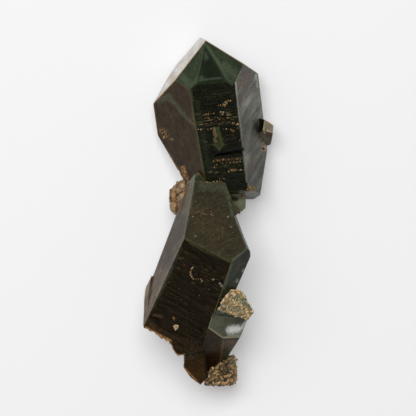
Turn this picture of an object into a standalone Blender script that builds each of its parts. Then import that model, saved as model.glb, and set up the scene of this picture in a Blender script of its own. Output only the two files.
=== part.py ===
"""Chlorite-included quartz: two large crystals grown together at a neck.

The specimen lies on its flat back. The long way is Y, with the pointed crystal towards +Y, and up is Z.
Lengths are in millimetres until a mesh is made. A crystal is the space inside its flat faces, and each
face is named and placed by corners of the crystal or by its bearing and its slope.
"""
import math
import random

import bmesh
import bpy
from mathutils import Vector, noise

for old in list(bpy.data.objects):
    bpy.data.objects.remove(old, do_unlink=True)

MM = 0.001

# Driving dimensions.
UPPER_FRONT_HEIGHT = 18.0      # front face of the pointed crystal above the table, at its shoulder
UPPER_ROOT_HEIGHT = 15.82      # the same face at the neck
LOWER_RIDGE_HEIGHT = 23.4      # left end of the ridge between the lower crystal's front and pyramid face
LOWER_RIDGE_RISE = 1.1         # how much higher the ridge's right end is
LOWER_END_HEIGHT = 18.1        # front face of the lower crystal at its broken end
NECK_FACE_HEIGHT = 16.2        # pyramid face of the lower crystal where it meets the upper one
STEP_DEPTH = 0.1               # growth steps on the two front faces
STEP_PITCH = 1.25
STEP_RISER = 0.16
CONTACT_GAP = 0.3              # between the quartz and the granular matrix
GRAIN_POINTS = 13              # points along each side of a block of matrix
TABLE_CLEARANCE = 0.8          # the matrix stays this far above the table
BOX_CENTRE = (0.04, 0.12)      # middle of the modelled outline, moved to the origin

STRAIGHT_DOWN = (0, 0, -1)
STRAIGHT_UP = (0, 0, 1)


class Face:
    """A flat crystal face: a point on it and its normal."""

    def __init__(self, point, normal):
        self.point = Vector(point)
        self.normal = Vector(normal).normalized()

    def at(self, x, y):
        """The point of the face above the place x, y."""
        n, p = self.normal, self.point
        return Vector((x, y, p.z - (n.x * (x - p.x) + n.y * (y - p.y)) / n.z))

    def raised(self, distance):
        """The parallel face that lies this much further up along the normal."""
        n = self.normal if self.normal.z > 0 else -self.normal
        return Face(self.point + n * distance, n)

    def away_from(self, inside):
        """The normal that points out of the solid that holds this inner point."""
        return -self.normal if self.normal.dot(inside - self.point) > 0 else self.normal


def corner(x, y, z):
    return Vector((x, y, z))


def through(a, b, c):
    """The face that holds three corners."""
    return Face(a, (b - a).cross(c - a))


def facing(point, bearing, slope):
    """The face through a point that looks towards a bearing, in degrees clockwise from +Y.

    Its slope is 0 for a level face, 90 for a wall, and more for one that overhangs.
    """
    b, s = math.radians(bearing), math.radians(slope)
    return Face(point, (math.sin(b) * math.sin(s), math.cos(b) * math.sin(s), math.cos(s)))


def wall_under(a, b, undercut, inside):
    """The wall that runs down from the edge a to b and leans inwards by undercut degrees."""
    run = (b - a).normalized()
    outwards = run.cross(Vector(STRAIGHT_DOWN))
    outwards.z = 0
    outwards.normalize()
    if outwards.dot(inside - a) > 0:
        outwards = -outwards
    lean = math.radians(undercut)
    down = Vector(STRAIGHT_DOWN) * math.cos(lean) - outwards * math.sin(lean)
    return Face(a, run.cross(down))


def floor(height=0.0):
    return Face((0, 0, height), STRAIGHT_DOWN)


def ceiling(height):
    return Face((0, 0, height), STRAIGHT_UP)


def crystal_mesh(faces, inside, grow=0.0):
    """A big cube cut down by every face in turn; grow moves all the faces outwards."""
    bm = bmesh.new()
    bmesh.ops.create_cube(bm, size=260)
    for face in faces:
        normal = face.away_from(inside)
        geometry = bm.verts[:] + bm.edges[:] + bm.faces[:]
        bmesh.ops.bisect_plane(bm, geom=geometry, dist=1e-5, plane_co=face.point + normal * grow,
                               plane_no=normal, clear_outer=True)
        bmesh.ops.holes_fill(bm, edges=bm.edges[:], sides=0)
    bmesh.ops.remove_doubles(bm, verts=bm.verts[:], dist=1e-4)
    bmesh.ops.recalc_face_normals(bm, faces=bm.faces[:])
    return bm


def add_growth_steps(bm, front, inside, axis, first, last, seed):
    """Cuts the front face across the axis, and sinks the foot of each cut to make a small ledge."""
    rng = random.Random(seed)
    up = front.away_from(inside)
    ledges = []
    place = first
    while place < last:
        for offset in (0.0, -STEP_RISER):
            on_front = [f for f in bm.faces if f.normal.dot(up) > 0.9999 and f.calc_area() > 1e-3
                        and abs((f.calc_center_median() - front.point).dot(up)) < 0.01]
            edges = {e for f in on_front for e in f.edges}
            verts = {v for e in edges for v in e.verts}
            cut = bmesh.ops.bisect_plane(bm, geom=list(verts) + list(edges) + on_front, dist=1e-5,
                                         plane_co=inside + axis * (place + offset), plane_no=axis)
            if offset:
                ledges.append([v for v in cut["geom_cut"] if isinstance(v, bmesh.types.BMVert)])
        place += STEP_PITCH * rng.uniform(0.55, 1.5)
    for ledge in ledges:
        depth = STEP_DEPTH * rng.uniform(0.5, 1.5)
        for v in ledge:
            v.co -= up * depth


def add_object(name, bm, guide=False):
    """Puts the mesh into a named object, in metres; a guide only cuts or joins others."""
    bmesh.ops.scale(bm, vec=(MM, MM, MM), verts=bm.verts[:])
    mesh = bpy.data.meshes.new(name)
    bm.to_mesh(mesh)
    bm.free()
    ob = bpy.data.objects.new(name, mesh)
    bpy.context.collection.objects.link(ob)
    ob.parent = specimen
    if guide:
        ob.hide_render = True
        ob.display_type = "WIRE"
    return ob


def boolean(ob, other, operation):
    modifier = ob.modifiers.new(other.name, "BOOLEAN")
    modifier.operation = operation
    modifier.solver = "EXACT"
    modifier.object = other


def give_material(ob, name, colour, roughness):
    material = bpy.data.materials.new(name)
    material.use_nodes = True
    shader = material.node_tree.nodes["Principled BSDF"]
    shader.inputs["Base Color"].default_value = (*colour, 1)
    shader.inputs["Roughness"].default_value = roughness
    shader.inputs["Metallic"].default_value = 0.0
    material.diffuse_color = (*colour, 1)
    ob.data.materials.append(material)


# The upper, pointed crystal. Its prism leans 8 degrees to the left, and its tip is a little raised.
UPPER_INSIDE = corner(-0.9, 24.8, 9)
UPPER_AXIS = Vector((-0.139, 0.985, 0.093)).normalized()
UPPER_FRONT = through(corner(-4.5, 33.4, UPPER_FRONT_HEIGHT), corner(-1.1, 10.3, UPPER_ROOT_HEIGHT),
                      corner(7.2, 33.4, UPPER_FRONT_HEIGHT))
UPPER_LEFT = through(UPPER_FRONT.at(-4.9, 32.3), UPPER_FRONT.at(-1.1, 10.3), corner(-15.0, 29.3, 5.5))
UPPER_RIGHT = through(UPPER_FRONT.at(7.2, 34.5), UPPER_FRONT.at(10.7, 7.3), corner(13.6, 37.4, 7.5))


def upper_crystal():
    inside = UPPER_INSIDE
    front, left, right = UPPER_FRONT, UPPER_LEFT, UPPER_RIGHT
    crown = corner(-0.9, 45.0, 12.4)
    middle_pyramid = through(front.at(-4.4, 34.4), front.at(5.3, 35.2), crown)
    right_pyramid = through(middle_pyramid.at(5.3, 35.2), crown, right.at(9.6, 39.8))
    left_pyramid = through(crown, front.at(-4.6, 33.4), left.at(-9.0, 35.6))
    peak = left_pyramid.at(-0.6, 46.4)
    bend = left.at(-9.0, 35.6)
    left_corner = left.at(-15.0, 29.3)
    foot_of_tip = corner(-2.2, 47.6, 2.0)
    foot_of_bend = corner(-8.7, 40.3, 1.2)
    low_left = left.at(-13.8, 20.8)
    bulge = right.at(16.1, 16.7)
    return [
        front, left, right, middle_pyramid, right_pyramid, left_pyramid,
        wall_under(peak, bend, -11, inside),
        wall_under(bend, left_corner, -11, inside),
        facing(peak, 32.1, 90.5),
        wall_under(foot_of_tip, foot_of_bend, 35, inside),
        wall_under(foot_of_bend, left_corner, 30, inside),
        wall_under(left_corner, low_left, 30, inside),
        wall_under(low_left, left.at(-6.7, 8.5), 8, inside),
        wall_under(right.at(13.6, 37.4), bulge, 28, inside),
        wall_under(bulge, right.at(14.3, 5.3), 15, inside),
        facing(front.at(8.6, 5.5), 179, 78),
        facing(corner(11.3, 3.2, 5), 180, 125),
        floor(),
    ], inside


def rider_crystal():
    """The little prism that lies on the upper crystal's front face."""
    front = UPPER_FRONT
    return [
        front.raised(0.75), front.raised(-1.0),
        facing(front.at(1.2, 22.1), -96, 52),
        facing(front.at(3.5, 21.5), 78, 52),
        facing(front.at(2.1, 23.0), -10, 60),
        facing(front.at(2.5, 16.6), 222, 60),
        facing(front.at(3.8, 16.9), 128, 60),
    ], front.at(2.4, 19.9)


def side_crystal():
    """The blocky crystal that stands out of the upper crystal's right flank."""
    top = through(corner(14.5, 24.5, 10.5), corner(17.6, 23.4, 9.0), corner(14.5, 21.3, 10.2))
    return [
        top,
        facing(top.at(14.9, 22.9), -82, 50),
        facing(top.at(16.1, 21.7), 170, 45),
        facing(corner(15.7, 24.7, 9), 20, 92),
        facing(corner(16.7, 24.1, 9), 33, 92),
        facing(corner(17.7, 22.9, 9), 95, 92),
        facing(corner(17.0, 18.4, 6), 100, 95),
        facing(corner(16.1, 17.9, 6), 165, 92),
        facing(corner(12.9, 22.1, 6), -90, 90),
        floor(2.6),
    ], corner(15.1, 21.3, 6)


def front_groove():
    """A dark ledge across the lower half of the upper crystal's front face."""
    front = UPPER_FRONT
    deep = front.raised(-0.55)
    return [
        front.raised(0.8),
        through(front.at(1.3, 15.9), front.at(10.2, 17.8), deep.at(5.9, 15.8)),
        facing(front.at(5.9, 15.7), 167.5, 96),
        facing(front.at(1.3, 15.1), -80, 60),
    ], front.raised(-0.1).at(5.9, 16.0)


def flank_notch():
    """A chip out of the upper crystal's lower left flank."""
    left = UPPER_LEFT
    return [
        facing(left.at(-10.3, 14.7), 0, 90),
        facing(left.at(-9.9, 14.7), 62, 80),
        facing(corner(-13.0, 13.2, 8), -90, 90),
        facing(corner(-10.3, 10.7, 8), 180, 90),
        ceiling(20), floor(-5),
    ], corner(-10.3, 13.2, 8)


# The lower, larger crystal. Its prism leans 28 degrees to the right.
LOWER_INSIDE = corner(-2.2, -15.7, 12)
RIDGE_LEFT = corner(-5.7, -7.5, LOWER_RIDGE_HEIGHT)
RIDGE_RIGHT = corner(6.2, -13.7, LOWER_RIDGE_HEIGHT + LOWER_RIDGE_RISE)
LOWER_FRONT = through(RIDGE_LEFT, RIDGE_RIGHT, corner(-11.7, -33.3, LOWER_END_HEIGHT))
LOWER_PYRAMID = through(RIDGE_LEFT, RIDGE_RIGHT, corner(1.8, 8.2, NECK_FACE_HEIGHT))
LOWER_LEFT = through(LOWER_FRONT.at(-6.5, -7.1), LOWER_FRONT.at(-15.2, -26.0), LOWER_PYRAMID.at(-3.5, 9.4))
LOWER_RIGHT = through(RIDGE_RIGHT, LOWER_FRONT.at(0.1, -31.6), LOWER_PYRAMID.at(10.3, -9.8))
LOWER_AXIS = (LOWER_FRONT.at(4.77, 8.79) - LOWER_FRONT.at(0, 0)).normalized()
RIGHT_SHOULDER = LOWER_RIGHT.at(11.5, -12.0)


def lower_crystal():
    inside = LOWER_INSIDE
    front, pyramid, left, right = LOWER_FRONT, LOWER_PYRAMID, LOWER_LEFT, LOWER_RIGHT
    return [
        front, pyramid, left, right,
        facing(pyramid.at(-0.6, 8.1), 3, 88),
        facing(pyramid.at(-4.8, 8.8), -50.5, 90),
        wall_under(left.at(-5.5, 7.8), left.at(-15.0, -17.3), 22, inside),
        wall_under(left.at(-17.3, -22.2), left.at(-17.6, -29.8), 8, inside),
        wall_under(front.at(-17.0, -32.0), front.at(-10.3, -35.4), 6, inside),
        wall_under(RIGHT_SHOULDER, right.at(8.7, -18.4), 22, inside),
        wall_under(pyramid.at(4.5, 8.3), RIGHT_SHOULDER, 15, inside),
        facing(corner(-0.9, 9.7, 8.5), 28.5, 140),
        floor(),
    ], inside


def lower_tip():
    """The small facet at the top of the lower crystal, which reaches onto the upper one."""
    pyramid, left = LOWER_PYRAMID, LOWER_LEFT
    inside = pyramid.at(-2.4, 8.6) - Vector((0, 0, 1.5))
    crest = UPPER_LEFT.at(-2.6, 10.6) + Vector((0, 0, 0.6))
    return [
        through(UPPER_FRONT.at(-0.6, 8.1), crest, pyramid.at(-3.7, 8.2)),
        pyramid.raised(-0.03), left.raised(-0.03),
        facing(pyramid.at(-4.8, 8.8), -50.5, 90),
        facing(pyramid.at(-2.6, 10.6), 51, 90),
        facing(corner(-2.4, 5.0, 8), 180, 90),
        floor(7.0),
    ], inside


def edge_bevel():
    """The narrow facet along the right edge of the broad pyramid face."""
    pyramid = LOWER_PYRAMID
    return [
        wall_under(pyramid.at(7.1, -1.4), pyramid.at(10.3, -9.6), -15, LOWER_INSIDE),
        facing(pyramid.at(7.0, -0.5), 8, 90),
        facing(corner(14.0, -3.6, 17), 90, 90),
        facing(corner(11.3, -13.6, 17), 180, 90),
        ceiling(26), floor(5),
    ], corner(11.3, -3.6, 17)


def broken_corner():
    """What is missing at the right of the lower crystal's broken end."""
    front = LOWER_FRONT
    edge = wall_under(front.at(0.1, -31.6), front.at(-1.0, -37.6), 4, LOWER_INSIDE)
    return [
        edge,
        facing(corner(2.0, -31.6, 10), 2, 90),
        facing(corner(9.0, -36.0, 10), 90, 90),
        facing(corner(2.0, -52.0, 10), 180, 90),
        ceiling(30), floor(-5),
    ], corner(3.0, -37.0, 10)


def broken_lug():
    """What is left of the prism beyond the break at the lower end."""
    top = LOWER_FRONT.raised(-0.15)
    inside = corner(-5.5, -34.6, 12)
    outline = [top.at(-10.9, -34.6), top.at(-9.4, -37.8), top.at(-8.2, -38.9), top.at(-6.3, -38.6),
               top.at(-1.4, -37.2), top.at(-0.2, -31.4)]
    walls = [wall_under(a, b, 6, inside) for a, b in zip(outline, outline[1:])]
    return [top, *walls, facing(corner(-5.5, -29.2, 10), 0, 90), floor(5.0)], inside


def flank_lamella():
    """A thin plate of later quartz along the lower crystal's left silhouette."""
    left = LOWER_LEFT
    inside = left.at(-16.0, -20.8) - Vector((0, 0, 0.4))
    return [
        left.raised(0.45), left.raised(-1.5),
        facing(left.at(-15.0, -17.3), 25, 92),
        wall_under(left.at(-15.3, -17.3), left.at(-16.9, -20.5), 6, inside),
        wall_under(left.at(-16.9, -20.5), left.at(-17.3, -23.0), 6, inside),
        facing(left.at(-15.2, -18.7), 75, 50),
        facing(left.at(-17.1, -23.8), 195, 88),
        floor(3.0),
    ], inside


RIGHT_TOP = through(corner(1.3, -28.4, 21.0), corner(0.5, -31.6, 20.4), corner(8.6, -33.8, 14.2))


def right_crystal():
    """The smaller crystal at the lower right, with its smooth face up and the crust behind it."""
    inside = corner(3.7, -31.9, 10)
    top = RIGHT_TOP
    low_edge = corner(3.2, -40.0, 11.2)
    left_prism = through(top.at(0.5, -31.6), top.at(3.9, -34.1), low_edge)
    right_prism = through(top.at(3.9, -34.1), low_edge, top.at(8.7, -34.0))
    return [
        top, left_prism, right_prism,
        wall_under(top.at(11.4, -27.3), top.at(8.7, -34.0), 12, inside),
        wall_under(top.at(11.2, -26.8), top.at(8.2, -21.4), 12, inside),
        wall_under(right_prism.at(8.7, -34.0), right_prism.at(6.2, -37.9), 8, inside),
        facing(top.at(4.5, -24.6), 15, 75),
        wall_under(right_prism.at(6.6, -39.3), left_prism.at(0.2, -43.8), 0, inside),
        facing(LOWER_FRONT.at(1.4, -26.8), -71.6, 90),
        facing(corner(-1.0, -34.6, 10), -95, 90),
        floor(1.0),
    ], inside


def foot_crystal():
    """The small crystal at the foot of the specimen."""
    inside = corner(-2.8, -42.2, 8)
    top = through(corner(-6.0, -39.2, 15.0), corner(-0.3, -37.3, 16.2), corner(-2.2, -46.5, 12.0))
    lower_left = [top.at(-6.7, -42.1), top.at(-4.8, -44.8), top.at(-2.1, -46.8)]
    return [
        top,
        wall_under(top.at(-6.4, -37.9), lower_left[0], 5, inside),
        wall_under(lower_left[0], lower_left[1], 12, inside),
        wall_under(lower_left[1], lower_left[2], 12, inside),
        wall_under(lower_left[2], top.at(-0.1, -44.6), 5, inside),
        wall_under(top.at(-0.1, -44.6), top.at(-0.8, -37.5), 5, inside),
        facing(corner(-2.8, -36.0, 8), 0, 90),
        floor(1.0),
    ], inside


# What the matrix is cut by, besides the quartz that is hidden under it.
CRYSTALS = {
    "upper": upper_crystal, "lower": lower_crystal, "tip": lower_tip, "lug": broken_lug,
    "lamella": flank_lamella, "right": right_crystal, "foot": foot_crystal, "side": side_crystal,
}


def quartz_crystals():
    """All the quartz, which grew together and is one solid."""
    bm = crystal_mesh(*upper_crystal())
    add_growth_steps(bm, UPPER_FRONT, UPPER_INSIDE, UPPER_AXIS, -17.5, 6.5, 3)
    quartz = add_object("quartz_crystals", bm)
    bm = crystal_mesh(*lower_crystal())
    add_growth_steps(bm, LOWER_FRONT, LOWER_INSIDE, LOWER_AXIS, -20.0, 5.2, 8)
    lower = add_object("lower_crystal_guide", bm, guide=True)
    for name, cutter in (("edge_bevel", edge_bevel), ("broken_corner", broken_corner)):
        boolean(lower, add_object(name + "_cutter", crystal_mesh(*cutter()), guide=True), "DIFFERENCE")
    for name, cutter in (("groove", front_groove), ("notch", flank_notch)):
        boolean(quartz, add_object(name + "_cutter", crystal_mesh(*cutter()), guide=True), "DIFFERENCE")
    boolean(quartz, lower, "UNION")
    for name in ("tip", "lug", "lamella", "right", "foot", "side"):
        part = add_object(name + "_guide", crystal_mesh(*CRYSTALS[name]()), guide=True)
        boolean(quartz, part, "UNION")
    boolean(quartz, add_object("rider_guide", crystal_mesh(*rider_crystal()), guide=True), "UNION")
    give_material(quartz, "chlorite_quartz", (0.022, 0.026, 0.014), 0.3)


def granular_mass(name, faces, inside, thinness, grain, relief, seed, touched):
    """Matrix: a block of points carried out to soft-edged limits, then raised into grains.

    The distance to the limits is a high power mean, so that edges are worn, and each grain is the
    cell of its own point. The last limit is the bed, which stays flat. Thinness squeezes the block
    towards the bed, for a flat crust. The crystals that it grew against are cut out with a small gap.
    """
    bm = bmesh.new()
    bmesh.ops.create_cube(bm, size=2.0)
    bmesh.ops.subdivide_edges(bm, edges=bm.edges[:], cuts=GRAIN_POINTS, use_grid_fill=True)
    limits = []
    for face in faces:
        normal = face.away_from(inside)
        limits.append((normal, normal.dot(face.point - inside)))
    bed = limits[-1][0]
    turn = bed.to_track_quat("Z", "Y")
    wear = 18
    for v in bm.verts:
        way = (turn @ Vector((v.co.x, v.co.y, v.co.z * thinness))).normalized()
        shares = [(max(normal.dot(way), 0.0) / distance) ** wear for normal, distance in limits]
        total = sum(shares)
        place = inside + way * total ** (-1 / wear)
        outwards = Vector((0, 0, 0))
        for (normal, _), share in zip(limits[:-1], shares):
            outwards += normal * share / total
        distances, _ = noise.voronoi(place / grain + Vector((seed, 0, 0)))
        swell = noise.noise(place / (grain * 2.6) + Vector((0, seed, 0)))
        v.co = place + outwards * relief * (0.45 - distances[0] + 0.6 * swell)
    mass = add_object(name, bm)
    for part in touched:
        grown = crystal_mesh(*CRYSTALS[part](), grow=CONTACT_GAP)
        boolean(mass, add_object(name + "_" + part + "_cutter", grown, guide=True), "DIFFERENCE")
    return mass


def neck_matrix():
    """Iron-stained granular lump behind the neck, which shows on both sides of it."""
    middle = corner(-0.6, 3.5, 5.2)
    faces = [
        facing(corner(-10.5, 3.2, 5), -92, 90),
        facing(corner(-9.2, 6.9, 5), -50, 88),
        facing(corner(-8.7, -1.7, 5), 235, 90),
        facing(corner(-0.9, 8.6, 5), 0, 90),
        facing(corner(-0.9, -1.1, 5), 182, 90),
        facing(corner(8.0, 5.8, 5), 25, 88),
        facing(corner(10.1, 2.6, 5), 88, 90),
        facing(corner(8.3, -0.3, 5), 150, 90),
        ceiling(11.8), floor(TABLE_CLEARANCE),
    ]
    mass = granular_mass("neck_matrix", faces, middle, 1.0, 1.6, 0.6, 5.0, ("upper", "lower", "tip"))
    give_material(mass, "iron_stained_matrix", (0.24, 0.13, 0.06), 0.85)


def side_crust():
    """Crust of tan and orange grains on the back of the small right-hand crystal."""
    middle = RIGHT_TOP.raised(0.9).at(7.0, -25.0)
    faces = [
        RIGHT_TOP.raised(1.5),
        facing(corner(3.9, -23.7, 19), -55, 84),
        facing(corner(1.9, -26.6, 18), -75, 88),
        facing(corner(7.2, -20.7, 17), 5, 85),
        facing(corner(10.2, -23.6, 15), 59, 90),
        facing(corner(11.7, -27.6, 13), 125, 92),
        facing(corner(6.2, -27.9, 17), 191, 80),
        RIGHT_TOP.raised(CONTACT_GAP),
    ]
    mass = granular_mass("side_crust", faces, middle, 0.16, 1.0, 0.6, 3.0, ("lower",))
    give_material(mass, "iron_stained_crust", (0.42, 0.25, 0.12), 0.8)


def foot_matrix():
    """Crumbly matrix with tan and dark green grains at the foot."""
    middle = corner(3.5, -43.5, 7)
    faces = [
        through(corner(1.0, -42.7, 13.5), corner(6.4, -40.0, 13.0), corner(5.3, -47.0, 8.0)),
        facing(corner(7.7, -42.4, 8), 88, 92),
        facing(corner(7.3, -46.5, 8), 120, 92),
        facing(corner(4.8, -46.8, 8), 180, 90),
        facing(corner(0.5, -47.1, 8), 190, 90),
        facing(corner(-1.4, -46.5, 8), 235, 90),
        facing(corner(-0.2, -44.2, 8), -70, 90),
        facing(corner(3.3, -41.0, 10), -30, 88),
        facing(corner(6.7, -39.1, 10), 35, 88),
        floor(TABLE_CLEARANCE),
    ]
    mass = granular_mass("foot_matrix", faces, middle, 1.0, 1.2, 0.7, 8.0, ("right", "foot"))
    give_material(mass, "crumbly_matrix", (0.3, 0.19, 0.1), 0.85)


specimen = bpy.data.objects.new("specimen", None)
bpy.context.collection.objects.link(specimen)
specimen.location = (-BOX_CENTRE[0] * MM, -BOX_CENTRE[1] * MM, 0)

quartz_crystals()
neck_matrix()
side_crust()
foot_matrix()
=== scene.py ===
import math

import bmesh
import bpy
import numpy as np
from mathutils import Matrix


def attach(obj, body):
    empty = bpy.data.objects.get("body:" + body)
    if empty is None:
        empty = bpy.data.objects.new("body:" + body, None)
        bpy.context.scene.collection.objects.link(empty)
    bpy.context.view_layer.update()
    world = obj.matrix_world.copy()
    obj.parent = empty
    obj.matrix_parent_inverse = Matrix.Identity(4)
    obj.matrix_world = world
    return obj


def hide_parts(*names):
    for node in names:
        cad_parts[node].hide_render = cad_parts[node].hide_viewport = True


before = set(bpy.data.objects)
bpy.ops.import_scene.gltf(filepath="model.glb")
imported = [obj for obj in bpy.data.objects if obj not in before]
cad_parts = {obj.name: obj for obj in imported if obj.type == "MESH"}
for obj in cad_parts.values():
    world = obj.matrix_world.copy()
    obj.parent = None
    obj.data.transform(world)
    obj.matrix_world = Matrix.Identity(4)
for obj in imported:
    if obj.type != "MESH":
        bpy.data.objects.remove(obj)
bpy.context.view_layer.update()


# The upper, pointed crystal.
# Quartz that grew around flakes of green chlorite, so that it is nearly black where the chlorite is thick.
# A crystal is the space inside its flat faces, and every face is drawn as a grid of its own.
MM = 0.001
MIDDLE = np.array([0.04, 0.12, 0.0])    # the outline's middle, which lies on the frame's origin
ARRIS = 0.22                            # width of the worn edge between two faces, in mm
TONES = ("iron", "veil", "milk", "shade", "painted_glint")


def corner(x, y, z):
    return np.array([x, y, z], float)


def turned_up(face):
    return face if face[2] > 0 else -face


def through(a, b, c):
    """Face with three corners on it: unit normal n and distance d, so that n . p = d."""
    n = np.cross(b - a, c - a)
    n /= np.linalg.norm(n)
    return np.append(n, n @ a)


def facing(point, bearing, slope):
    """Face through a point, towards a bearing clockwise from +Y; slope 0 is level and 90 a wall."""
    b, s = math.radians(bearing), math.radians(slope)
    n = np.array([math.sin(b) * math.sin(s), math.cos(b) * math.sin(s), math.cos(s)])
    return np.append(n, n @ point)


def wall_under(a, b, undercut, inside):
    """Wall that runs down from the edge a to b and leans inwards by undercut degrees."""
    run = (b - a) / np.linalg.norm(b - a)
    out = np.cross(run, (0, 0, -1.0)) * (1, 1, 0)
    out /= np.linalg.norm(out)
    out = -out if out @ (inside - a) > 0 else out
    lean = math.radians(undercut)
    n = np.cross(run, np.array([0, 0, -1.0]) * math.cos(lean) - out * math.sin(lean))
    n /= np.linalg.norm(n)
    return np.append(n, n @ a)


def level(height):
    return np.array([0, 0, 1.0, height])


def on(face, x, y):
    """Point of the face above the place x, y."""
    return corner(x, y, (face[3] - face[0] * x - face[1] * y) / face[2])


def raised(face, height):
    """Parallel face that lies further up."""
    return turned_up(face) + (0, 0, 0, height)


def outward(faces, inside):
    """All faces as rows, with every normal pointing away from the inner point."""
    rows = np.array(faces)
    side = np.sign(rows[:, :3] @ inside - rows[:, 3])
    return -rows * side[:, None]


def facet_outline(rows, i):
    """Corners of face i: a big square on it, cut back by every other face in turn."""
    n, d = rows[i, :3], rows[i, 3]
    u = np.cross(n, (0, 0, 1.0) if abs(n[2]) < 0.9 else (0, 1.0, 0))
    u /= np.linalg.norm(u)
    v = np.cross(n, u)
    ring = [n * d + 300 * (a * u + b * v) for a, b in ((1, 1), (-1, 1), (-1, -1), (1, -1))]
    for j in range(len(rows)):
        if j == i or not ring:
            continue
        height = [rows[j, :3] @ p - rows[j, 3] for p in ring]
        kept = []
        for k, p in enumerate(ring):
            q, hp, hq = ring[k - 1], height[k], height[k - 1]
            if (hp > 1e-9) != (hq > 1e-9):
                kept.append(q + (p - q) * (hq / (hq - hp)))
            if hp <= 1e-9:
                kept.append(p)
        ring = [p for k, p in enumerate(kept) if np.linalg.norm(p - kept[k - 1]) > 1e-4]
    return ring if len(ring) > 2 else []


def smooth_noise(p, cell, seed):
    """Random values at the corners of a lattice of that cell size, eased from corner to corner."""
    table = np.random.default_rng(seed).uniform(-1, 1, 4096)
    q = p / np.asarray(cell, float)
    base = np.floor(q).astype(np.int64)
    f = q - base
    f = f * f * (3 - 2 * f)
    total = np.zeros(len(p))
    for step in np.ndindex(2, 2, 2):
        at = base + step
        index = (at[:, 0] * 73856093 ^ at[:, 1] * 19349663 ^ at[:, 2] * 83492791) % 4096
        weight = np.prod(np.where(step, f, 1 - f), axis=1)
        total += table[index] * weight
    return total


def eased(x):
    """Soft step from 0 to 1."""
    x = np.clip(x, 0, 1)
    return x * x * (3 - 2 * x)


def facet_grid(ring, cell, spacing):
    """Grid over one face: cells round its outline, and rings from its middle out to the worn edge.

    A point is middle + t * (edge point - middle), with t even, and two close rings at the end.
    """
    edge = []
    for a, b in zip(ring, ring[1:] + ring[:1]):
        count = max(1, math.ceil(np.linalg.norm(b - a) / cell))
        steps = np.arange(count)[:, None] / count
        edge.append(a + (b - a) * steps if tuple(a) < tuple(b) else b + (a - b) * (1 - steps))
    edge = np.concatenate(edge)
    middle = edge.mean(axis=0)
    reach = np.linalg.norm(edge - middle, axis=1)
    rings = max(2, math.ceil(reach.max() / spacing))
    t = np.arange(1, rings) / rings
    close = [1 - 0.24 / reach.mean(), 1 - 0.1 / reach.mean(), 1.0] if reach.mean() > 0.7 else [1.0]
    t = np.concatenate((t[t < close[0] - 0.5 / rings], close))
    grid = middle + (edge - middle) * t[:, None, None]
    count = len(edge)
    this, after = np.arange(count), np.roll(np.arange(count), -1)
    fan = np.stack((np.zeros(count, int), 1 + this, 1 + after, 1 + after), axis=1)
    bands = np.arange(len(t) - 1)[:, None] * count + 1
    quads = np.stack((bands + this, bands + this + count, bands + after + count, bands + after), axis=2)
    return np.vstack((middle[None], grid.reshape(-1, 3))), np.vstack((fan, quads.reshape(-1, 4)))


def mesh_piece(name, points, quads, finish, materials, tones, sharp=24):
    """Object from points in mm, four-cornered faces, a material number per face and tones per point."""
    mesh = bpy.data.meshes.new(name)
    mesh.from_pydata((points - MIDDLE) * MM, [], [[*dict.fromkeys(q)] for q in quads.tolist()])
    mesh.polygons.foreach_set("material_index", np.asarray(finish, np.int32))
    for key, values in tones.items():
        mesh.attributes.new(key, "FLOAT", "POINT").data.foreach_set("value", values.astype(np.float32))
    bm = bmesh.new()
    bm.from_mesh(mesh)
    bmesh.ops.remove_doubles(bm, verts=bm.verts, dist=2e-7)
    bmesh.ops.dissolve_degenerate(bm, edges=bm.edges, dist=1e-7)
    bmesh.ops.recalc_face_normals(bm, faces=bm.faces)
    bm.to_mesh(mesh)
    bm.free()
    mesh.shade_smooth()
    mesh.set_sharp_from_angle(angle=math.radians(sharp))
    for material in materials:
        mesh.materials.append(material)
    piece = bpy.data.objects.new(name, mesh)
    bpy.context.collection.objects.link(piece)
    return piece


def stepped(p, axis, across):
    """Growth steps: low plateaus, long across the crystal and short along it, with finer lines on them."""
    bent = p @ axis + 0.12 * smooth_noise(p, 3.0, 11)
    q = np.stack((bent, p @ across, 0 * bent), axis=1)
    plateau = eased((smooth_noise(q, (0.8, 5.0, 1), 12) - 0.05) / 0.4)
    return 0.09 * plateau + 0.03 * smooth_noise(q, (0.42, 2.6, 1), 13)


def smooth(p, axis, across):
    """Nearly flat: a faint swell and faint lines across the growth direction."""
    q = np.stack((p @ axis, p @ across, 0 * p[:, 0]), axis=1)
    return 0.03 * smooth_noise(p, 2.4, 31) + 0.012 * smooth_noise(q, (0.8, 6.0, 1), 33)


def broken(p, axis, across):
    """Shell-like breaks: lumps of two sizes."""
    return 0.3 * smooth_noise(p, 1.6, 61) + 0.12 * smooth_noise(p, 0.6, 62)


def unseen(p, axis, across):
    return 0.08 * smooth_noise(p, 3.5, 71)


SPACING = {stepped: 0.24, smooth: 0.36, broken: 0.36, unseen: 1.2}


def painted(p, marks):
    """Tones on the surface: each mark is a soft, ragged band along a line as seen from above.

    A mark is a tone, the line's two ends, its half width in mm and its strength.
    """
    ragged = 0.5 * smooth_noise(p, 1.1, 40) + 0.35 * smooth_noise(p, 0.45, 41)
    tones = {tone: np.zeros(len(p)) for tone in TONES}
    for tone, x0, y0, x1, y1, width, strength in marks:
        start, run = np.array([x0, y0]), np.array([x1 - x0, y1 - y0])
        along = np.clip((p[:, :2] - start) @ run / max(run @ run, 1e-6), 0, 1)
        away = np.linalg.norm(p[:, :2] - start - along[:, None] * run, axis=1) / width
        tones[tone] = np.maximum(tones[tone], strength * eased((1.35 - away + 0.6 * ragged) / 0.9))
    return tones


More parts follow.
